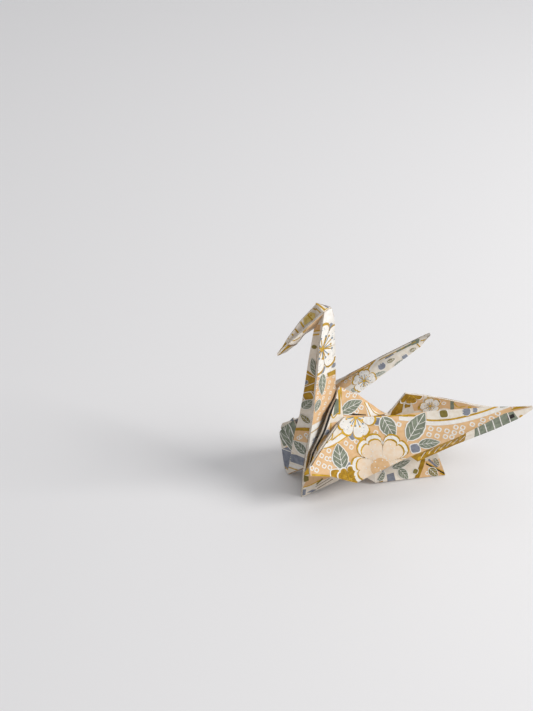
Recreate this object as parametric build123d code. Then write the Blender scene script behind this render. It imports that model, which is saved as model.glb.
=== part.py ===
from build123d import *
import os

# An origami crane, one square sheet of paper folded into a body, neck, head, tail and two wings.
# Units are millimetres, +Z is up and the lowest flap corners stand on Z = 0.
# The neck is on the -X side, the tail spike and both swept wings on the +X side.

SHEET_SIDE = 150.0      # flat size of the square sheet
PAPER = 0.11            # one ply of printed washi
# folded paper lies in several plies pressed together, so each facet has the thickness of its plies
PLY_BODY = 4 * PAPER - 0.02     # wings and body walls
PLY_HUMP = 0.40                 # back of the body
PLY_HEAD = 0.46                 # head and tail
PLY_NECK = 0.50                 # neck
MITRE_LIMIT = 1.5               # longest corner of a fold, in half thicknesses

# fold corners on the middle surface of the paper
P = {
    "a2": (3.48, -10.00, 12.11), "a2b": (9.03, -8.40, 10.54), "a2bm": (1.39, 12.12, 10.54), 
    "a2m": (-3.86, 9.70, 12.11), "a3": (15.85, -6.40, 6.52), "a3b": (20.29, -5.40, 8.64), 
    "a3bm": (11.87, 17.22, 8.64), "a3m": (7.85, 15.07, 6.52), "a4": (30.09, -2.40, 12.24), 
    "a5": (42.87, 1.20, 16.06), "a5b": (55.11, 5.00, 20.83), "a6": (29.02, 7.20, 18.70), 
    "b4": (32.20, -1.60, 10.01), "b5": (42.55, 2.20, 12.70), "b5b": (53.34, 5.00, 15.75), 
    "b6": (59.13, 6.20, 18.17), "btip": (62.99, 7.20, 20.63), "d1": (14.83, 7.74, 25.88), 
    "d2": (23.23, 10.57, 30.84), "d3": (32.26, 13.13, 36.98), "e1": (15.58, 5.87, 26.47), 
    "e2": (23.50, 8.47, 31.94), "e3": (32.32, 11.86, 37.64), "f0": (-1.84, 4.45, 0.35), 
    "f1": (-1.08, 5.00, 6.51), "f2": (-0.11, 5.00, 14.55), "f3": (0.98, 4.80, 20.82), 
    "f4": (2.04, 4.40, 29.69), "f5": (2.88, 4.20, 38.73), "f6": (4.05, 3.80, 48.48), 
    "f7": (5.43, 3.60, 54.23), "g1": (10.09, 2.60, 27.80), "g2": (8.46, 0.60, 24.93), 
    "g2m": (6.84, 4.94, 24.93), "g3": (6.58, -1.40, 19.72), "g3m": (4.11, 5.22, 19.72), 
    "g4": (4.06, -3.00, 13.95), "g4m": (1.16, 4.78, 13.95), "g5": (3.29, -3.60, 9.82), 
    "g5m": (0.19, 4.73, 9.82), "h_ft0": (4.47, 3.60, 55.89), "h_ft1": (0.49, 1.60, 52.15), 
    "h_ft2": (-2.45, -0.40, 48.61), "h_nt1": (1.19, -0.60, 51.11), "h_nt2": (-1.98, -1.60, 48.39), 
    "h_t": (-5.16, -2.60, 45.04), "h_u0": (4.11, 2.00, 50.27), "h_u1": (1.51, 0.90, 48.92), 
    "h_u2": (-0.39, -0.40, 47.12), "h_u3": (-2.93, -1.50, 45.48), "k1": (41.27, 3.99, 0.35), 
    "k1m": (37.20, 14.60, 0.35), "k2": (38.97, 5.20, 6.34), "k2m": (35.50, 13.60, 5.80), 
    "k3": (35.67, 4.40, 4.17), "k3m": (32.00, 14.00, 4.60), "lf0": (-0.60, 8.60, 16.65), 
    "lf1": (-4.12, 9.40, 11.06), "lf2": (-3.40, 8.40, 5.79), "lf3": (-2.63, 6.60, 0.48), 
    "n0": (1.71, -4.87, 0.35), "n1": (2.08, -4.30, 8.51), "n2": (2.83, -3.60, 15.14), 
    "n3": (4.03, -2.40, 25.80), "n4": (4.75, -1.20, 38.24), "n5": (5.09, -0.40, 46.22), 
    "n6": (6.12, 0.60, 55.57), "p0": (10.89, 3.97, 30.56), "p1": (16.01, 5.88, 26.23), 
    "q1": (16.27, 7.08, 33.52), "q2": (22.27, 9.21, 36.08), "q3": (31.44, 12.23, 39.44), 
    "q4": (34.83, 13.19, 40.67), "r0": (25.48, 12.60, 14.89), "r1": (30.09, 15.60, 19.64), 
    "r2": (38.60, 16.60, 17.51), "r3": (47.29, 17.00, 15.13), "r4": (57.09, 17.00, 13.03), 
    "r5": (45.29, 17.60, 6.88), "r6": (33.10, 18.00, 1.10), "s1": (3.44, 1.20, 5.85), 
    "s2": (4.89, 1.74, 13.43), "s3": (8.03, 2.91, 21.30), "s4": (9.89, 3.60, 27.69), 
    "s45": (9.70, 3.53, 32.10), "s5": (9.50, 3.46, 36.13), "s6": (9.13, 3.32, 43.66), 
    "s7": (8.57, 3.11, 52.20), "s8": (7.82, 2.83, 55.16), "t1": (52.63, 7.60, 20.93), 
    "t2": (35.99, 7.80, 19.39), "tip": (62.79, 7.00, 21.79), "v1": (12.32, 2.50, 21.79), 
    "v1m": (11.01, 6.03, 21.79), "v2": (19.73, 5.20, 19.60), "v2m": (18.38, 8.83, 19.60), 
    "v3": (23.86, 8.60, 17.64), "w1": (11.03, -0.73, 2.20), "w12": (15.89, 1.01, 4.60), 
    "w12m": (12.73, 9.49, 4.60), "w1m": (7.91, 7.63, 2.20), "w2": (21.70, 0.09, 1.00), 
    "w2m": (16.52, 13.98, 1.00), "w3": (31.50, 9.00, 15.00), "w3m": (29.50, 13.20, 12.50), 
    "wa": (10.67, 0.30, 20.70), "wam": (8.32, 6.61, 20.70), "wb": (6.10, -5.40, 17.15), 
    "wbm": (1.14, 7.93, 17.15), "wc": (3.20, -9.00, 14.30), "wcm": (-3.41, 8.76, 14.30), 
}

# facets of the folded sheet: every facet is a ring of fold corners, neighbours share a fold line
FACETS = {
    "neck": (PLY_NECK, [
        "n0 s1 n1", "n1 s1 s2 n2", "n2 s2 s3 n3", "n3 s3 s4 n4", "n4 s4 s5", "n4 s5 s6 n5", "n5 s6 s7 n6", 
        "n6 s7 s8", "f0 f1 s1", "f1 f2 s2 s1", "f2 f3 s3 s2", "f3 f4 s4 s3", "f4 f5 s5 s4", "f5 f6 s6 s5", 
        "f6 f7 s7 s6", "f7 s8 s7", 
    ]),
    "head": (PLY_HEAD, [
        "n6 h_u0 h_u1 h_nt1", "h_nt1 h_u1 h_u2 h_nt2", "h_nt2 h_u2 h_u3", "h_nt2 h_u3 h_t", 
        "h_ft0 h_ft1 h_u1 h_u0", "h_ft1 h_ft2 h_u2 h_u1", "h_ft2 h_u3 h_u2", "h_ft2 h_t h_u3", 
    ]),
    "crown": (PLY_HEAD, [
        "n6 s8 h_ft0", "s8 f7 h_ft0", "n6 h_ft0 h_u0", 
    ]),
    "hump": (PLY_HUMP, [
        "v1 v2 p1 p0", "v2 v3 p1", "p0 p1 v2m v1m", "p1 v3 v2m", 
    ]),
    "wing_near": (PLY_BODY, [
        "v1 wa wb", "v1 wb wc", "v1 wc a2", "v1 a2 a2b", "v1 a2b a3", "v1 a3 v2", "v2 a3 a3b", "v2 a3b a4", 
        "v2 a4 a6", "a6 a4 t2", "t2 a4 a5", "t2 a5 t1", "t1 a5 a5b", "t1 a5b tip", "a4 b4 b5 a5", 
        "a5 b5 b5b a5b", "a5b b5b b6", "a5b b6 btip tip", 
    ]),
    "wing_far": (PLY_BODY, [
        "v1m wbm wam", "v1m wcm wbm", "v1m a2m wcm", "v1m a2bm a2m", "v1m a3m a2bm", "v1m v2m a3m", 
        "v2m a3bm a3m", "v2m r6 a3bm", "v2m r0 r6", "r0 r1 r6", "r1 r2 r5", "r1 r5 r6", "r2 r3 r5", 
        "r3 r4 r5", 
    ]),
    "wall_near": (PLY_BODY, [
        "n1 n0 g5", "n0 w1 g5", "g5 w1 g4", "g4 w1 v1", "g4 v1 g3", "g3 v1 g2", "g2 v1 g1", "g1 v1 p0", 
        "w1 w12 v1", "v1 w12 v2", "w12 w2 v2", "w2 w3 v2", "w2 k3 w3", "w2 k1 k3", "k3 k1 k2", "k3 k2 w3", 
    ]),
    "wall_far": (PLY_BODY, [
        "f1 g5m f0", "f0 g5m w1m", "g5m g4m w1m", "g4m v1m w1m", "g4m g3m v1m", "g3m g2m v1m", "g2m p0 v1m", 
        "w1m v1m w12m", "v1m v2m w12m", "w12m v2m w2m", "w2m v2m w3m", "w2m w3m k3m", "w2m k3m k1m", 
        "k3m k2m k1m", "k3m w3m k2m", 
    ]),
    "flap_far": (PLY_BODY, [
        "lf0 g4m lf1", "lf1 g4m lf2", "lf2 g4m g5m", "lf2 g5m lf3", "lf3 g5m f0", 
    ]),
    "tail": (PLY_HEAD, [
        "s45 s4 e1 q1", "q1 e1 e2 q2", "q2 e2 e3 q3", "q3 e3 q4", "s45 q1 d1 s4", "q1 q2 d2 d1", 
        "q2 q3 d3 d2", "q3 q4 d3", 
    ]),
}


def folded(ply, rings):
    """A closed solid of the given thickness about facets that share their fold lines."""
    tris = []
    for ring in rings:
        k = ring.split()
        for i in range(1, len(k) - 1):
            tris.append((k[0], k[i], k[i + 1]))
    normal = {}
    count = {}
    flat = []
    for t in tris:
        a, b, c = (Vector(*P[k]) for k in t)
        n = (b - a).cross(c - a).normalized()
        flat.append(n)
        for i, k in enumerate(t):
            u = (Vector(*P[t[(i + 1) % 3]]) - Vector(*P[k])).normalized()
            w = (Vector(*P[t[(i + 2) % 3]]) - Vector(*P[k])).normalized()
            angle = u.get_angle(w)
            normal[k] = normal.get(k, Vector(0, 0, 0)) + n * angle
            count.setdefault(k, []).append(n)
    top, low = {}, {}
    for k, n in normal.items():
        n = n.normalized()
        least = min(max(n.dot(m), 1.0 / MITRE_LIMIT) for m in count[k])
        shift = n * (0.5 * ply / least)
        top[k] = Vector(*P[k]) + shift
        low[k] = Vector(*P[k]) - shift
    faces = []

    def face(*pts):
        faces.append(Face(Wire.make_polygon(list(pts), close=True)))

    edges = {}
    for a, b, c in tris:
        face(top[a], top[b], top[c])
        face(low[a], low[c], low[b])
        for e in ((a, b), (b, c), (c, a)):
            edges[e] = edges.get(e, 0) + 1
    for a, b in edges:
        if (b, a) not in edges:
            face(top[a], low[a], low[b])
            face(top[a], low[b], top[b])
    solid = Solid(Shell(faces))
    if solid.volume < 0:
        solid = Solid(Shell([-f for f in faces]))
    return solid


pieces = [folded(ply, rings) for ply, rings in FACETS.values()]
crane = pieces[0]
for piece in pieces[1:]:
    crane = crane.fuse(piece)
crane = crane.clean()
solids = crane.solids()
root = solids[0] if len(solids) == 1 else Compound(children=list(solids))
for s in solids:
    print("solid", round(s.volume, 2), s.is_valid)
box = root.bounding_box()
print("shift", round(-box.center().X, 3), round(-box.center().Y, 3), round(-box.min.Z, 3))
root = Pos(-box.center().X, -box.center().Y, -box.min.Z) * root     # origin: middle of the footprint box, on the ground

os.makedirs("parts", exist_ok=True)
export_step(root, "parts/crane_sheet.step")
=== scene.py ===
import bpy, math, random
from mathutils import Vector, Matrix
from mathutils.geometry import tessellate_polygon


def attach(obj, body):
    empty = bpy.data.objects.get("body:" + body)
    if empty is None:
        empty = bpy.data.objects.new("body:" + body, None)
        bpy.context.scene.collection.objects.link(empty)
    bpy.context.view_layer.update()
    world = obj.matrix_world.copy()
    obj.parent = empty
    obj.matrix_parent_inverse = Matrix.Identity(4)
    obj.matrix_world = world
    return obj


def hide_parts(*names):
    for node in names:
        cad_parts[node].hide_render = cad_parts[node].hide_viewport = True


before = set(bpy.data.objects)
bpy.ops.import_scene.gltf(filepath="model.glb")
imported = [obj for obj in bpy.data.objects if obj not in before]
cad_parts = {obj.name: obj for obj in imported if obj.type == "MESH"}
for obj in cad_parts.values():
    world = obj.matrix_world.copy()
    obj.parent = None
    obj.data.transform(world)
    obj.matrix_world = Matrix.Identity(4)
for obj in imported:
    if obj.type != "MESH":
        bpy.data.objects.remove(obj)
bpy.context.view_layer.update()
random.seed(11)

# ---------------------------------------------------------------- folded sheet
# fold corners in millimetres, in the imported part's frame
P = {
    'a2': (-25.439, -14.042, 11.825), 'a2b': (-19.889, -12.442, 10.255), 'a2bm': (-27.529, 8.078, 10.255), 
    'a2m': (-32.779, 5.658, 11.825), 'a3': (-13.069, -10.442, 6.235), 'a3b': (-8.629, -9.442, 8.355), 
    'a3bm': (-17.049, 13.178, 8.355), 'a3m': (-21.069, 11.028, 6.235), 'a4': (1.171, -6.442, 11.955), 
    'a5': (13.951, -2.842, 15.775), 'a5b': (26.191, 0.958, 20.545), 'a6': (0.101, 3.158, 18.415), 
    'b4': (3.281, -5.642, 9.725), 'b5': (13.631, -1.842, 12.415), 'b5b': (24.421, 0.958, 15.465), 
    'b6': (30.211, 2.158, 17.885), 'btip': (34.071, 3.158, 20.345), 'd1': (-14.089, 3.698, 25.595), 
    'd2': (-5.689, 6.528, 30.555), 'd3': (3.341, 9.088, 36.695), 'e1': (-13.339, 1.828, 26.185), 
    'e2': (-5.419, 4.428, 31.655), 'e3': (3.401, 7.818, 37.355), 'f0': (-30.759, 0.408, 0.065), 
    'f1': (-29.999, 0.958, 6.225), 'f2': (-29.029, 0.958, 14.265), 'f3': (-27.939, 0.758, 20.535), 
    'f4': (-26.879, 0.358, 29.405), 'f5': (-26.039, 0.158, 38.445), 'f6': (-24.869, -0.242, 48.195), 
    'f7': (-23.489, -0.442, 53.945), 'g1': (-18.829, -1.442, 27.515), 'g2': (-20.459, -3.442, 24.645), 
    'g2m': (-22.079, 0.898, 24.645), 'g3': (-22.339, -5.442, 19.435), 'g3m': (-24.809, 1.178, 19.435), 
    'g4': (-24.859, -7.042, 13.665), 'g4m': (-27.759, 0.738, 13.665), 'g5': (-25.629, -7.642, 9.535), 
    'g5m': (-28.729, 0.688, 9.535), 'h_ft0': (-24.449, -0.442, 55.605), 'h_ft1': (-28.429, -2.442, 51.865), 
    'h_ft2': (-31.369, -4.442, 48.325), 'h_nt1': (-27.729, -4.642, 50.825), 'h_nt2': (-30.899, -5.642, 48.105), 
    'h_t': (-34.079, -6.642, 44.755), 'h_u0': (-24.809, -2.042, 49.985), 'h_u1': (-27.409, -3.142, 48.635), 
    'h_u2': (-29.309, -4.442, 46.835), 'h_u3': (-31.849, -5.542, 45.195), 'k1': (12.351, -0.052, 0.065), 
    'k1m': (8.281, 10.558, 0.065), 'k2': (10.051, 1.158, 6.055), 'k2m': (6.581, 9.558, 5.515), 
    'k3': (6.751, 0.358, 3.885), 'k3m': (3.081, 9.958, 4.315), 'lf0': (-29.519, 4.558, 16.365), 
    'lf1': (-33.039, 5.358, 10.775), 'lf2': (-32.319, 4.358, 5.505), 'lf3': (-31.549, 2.558, 0.195), 
    'n0': (-27.209, -8.912, 0.065), 'n1': (-26.839, -8.342, 8.225), 'n2': (-26.089, -7.642, 14.855), 
    'n3': (-24.889, -6.442, 25.515), 'n4': (-24.169, -5.242, 37.955), 'n5': (-23.829, -4.442, 45.935), 
    'n6': (-22.799, -3.442, 55.285), 'p0': (-18.029, -0.072, 30.275), 'p1': (-12.909, 1.838, 25.945), 
    'q1': (-12.649, 3.038, 33.235), 'q2': (-6.649, 5.168, 35.795), 'q3': (2.521, 8.188, 39.155), 
    'q4': (5.911, 9.148, 40.385), 'r0': (-3.439, 8.558, 14.605), 'r1': (1.171, 11.558, 19.355), 
    'r2': (9.681, 12.558, 17.225), 'r3': (18.371, 12.958, 14.845), 'r4': (28.171, 12.958, 12.745), 
    'r5': (16.371, 13.558, 6.595), 'r6': (4.181, 13.958, 0.815), 's1': (-25.479, -2.842, 5.565), 
    's2': (-24.029, -2.302, 13.145), 's3': (-20.889, -1.132, 21.015), 's4': (-19.029, -0.442, 27.405), 
    's45': (-19.219, -0.512, 31.815), 's5': (-19.419, -0.582, 35.845), 's6': (-19.789, -0.722, 43.375), 
    's7': (-20.349, -0.932, 51.915), 's8': (-21.099, -1.212, 54.875), 't1': (23.711, 3.558, 20.645), 
    't2': (7.071, 3.758, 19.105), 'tip': (33.871, 2.958, 21.505), 'v1': (-16.599, -1.542, 21.505), 
    'v1m': (-17.909, 1.988, 21.505), 'v2': (-9.189, 1.158, 19.315), 'v2m': (-10.539, 4.788, 19.315), 
    'v3': (-5.059, 4.558, 17.355), 'w1': (-17.889, -4.772, 1.915), 'w12': (-13.029, -3.032, 4.315), 
    'w12m': (-16.189, 5.448, 4.315), 'w1m': (-21.009, 3.588, 1.915), 'w2': (-7.219, -3.952, 0.715), 
    'w2m': (-12.399, 9.938, 0.715), 'w3': (2.581, 4.958, 14.715), 'w3m': (0.581, 9.158, 12.215), 
    'wa': (-18.249, -3.742, 20.415), 'wam': (-20.599, 2.568, 20.415), 'wb': (-22.819, -9.442, 16.865), 
    'wbm': (-27.779, 3.888, 16.865), 'wc': (-25.719, -13.042, 14.015), 'wcm': (-32.329, 4.718, 14.015), 
}

FACETS = {
    'neck': (0.500, ['n0 s1 n1', 'n1 s1 s2 n2', 'n2 s2 s3 n3', 'n3 s3 s4 n4', 'n4 s4 s5', 'n4 s5 s6 n5', 'n5 s6 s7 n6', 'n6 s7 s8', 'f0 f1 s1', 'f1 f2 s2 s1', 'f2 f3 s3 s2', 'f3 f4 s4 s3', 'f4 f5 s5 s4', 'f5 f6 s6 s5', 'f6 f7 s7 s6', 'f7 s8 s7']),
    'head': (0.460, ['n6 h_u0 h_u1 h_nt1', 'h_nt1 h_u1 h_u2 h_nt2', 'h_nt2 h_u2 h_u3', 'h_nt2 h_u3 h_t', 'h_ft0 h_ft1 h_u1 h_u0', 'h_ft1 h_ft2 h_u2 h_u1', 'h_ft2 h_u3 h_u2', 'h_ft2 h_t h_u3']),
    'crown': (0.460, ['n6 s8 h_ft0', 's8 f7 h_ft0', 'n6 h_ft0 h_u0']),
    'hump': (0.400, ['v1 v2 p1 p0', 'v2 v3 p1', 'p0 p1 v2m v1m', 'p1 v3 v2m']),
    'wing_near': (0.420, ['v1 wa wb', 'v1 wb wc', 'v1 wc a2', 'v1 a2 a2b', 'v1 a2b a3', 'v1 a3 v2', 'v2 a3 a3b', 'v2 a3b a4', 'v2 a4 a6', 'a6 a4 t2', 't2 a4 a5', 't2 a5 t1', 't1 a5 a5b', 't1 a5b tip', 'a4 b4 b5 a5', 'a5 b5 b5b a5b', 'a5b b5b b6', 'a5b b6 btip tip']),
    'wing_far': (0.420, ['v1m wbm wam', 'v1m wcm wbm', 'v1m a2m wcm', 'v1m a2bm a2m', 'v1m a3m a2bm', 'v1m v2m a3m', 'v2m a3bm a3m', 'v2m r6 a3bm', 'v2m r0 r6', 'r0 r1 r6', 'r1 r2 r5', 'r1 r5 r6', 'r2 r3 r5', 'r3 r4 r5']),
    'wall_near': (0.420, ['n1 n0 g5', 'n0 w1 g5', 'g5 w1 g4', 'g4 w1 v1', 'g4 v1 g3', 'g3 v1 g2', 'g2 v1 g1', 'g1 v1 p0', 'w1 w12 v1', 'v1 w12 v2', 'w12 w2 v2', 'w2 w3 v2', 'w2 k3 w3', 'w2 k1 k3', 'k3 k1 k2', 'k3 k2 w3']),
    'wall_far': (0.420, ['f1 g5m f0', 'f0 g5m w1m', 'g5m g4m w1m', 'g4m v1m w1m', 'g4m g3m v1m', 'g3m g2m v1m', 'g2m p0 v1m', 'w1m v1m w12m', 'v1m v2m w12m', 'w12m v2m w2m', 'w2m v2m w3m', 'w2m w3m k3m', 'w2m k3m k1m', 'k3m k2m k1m', 'k3m w3m k2m']),
    'flap_far': (0.420, ['lf0 g4m lf1', 'lf1 g4m lf2', 'lf2 g4m g5m', 'lf2 g5m lf3', 'lf3 g5m f0']),
    'tail': (0.460, ['s45 s4 e1 q1', 'q1 e1 e2 q2', 'q2 e2 e3 q3', 'q3 e3 q4', 's45 q1 d1 s4', 'q1 q2 d2 d1', 'q2 q3 d3 d2', 'q3 q4 d3']),
}

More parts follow.
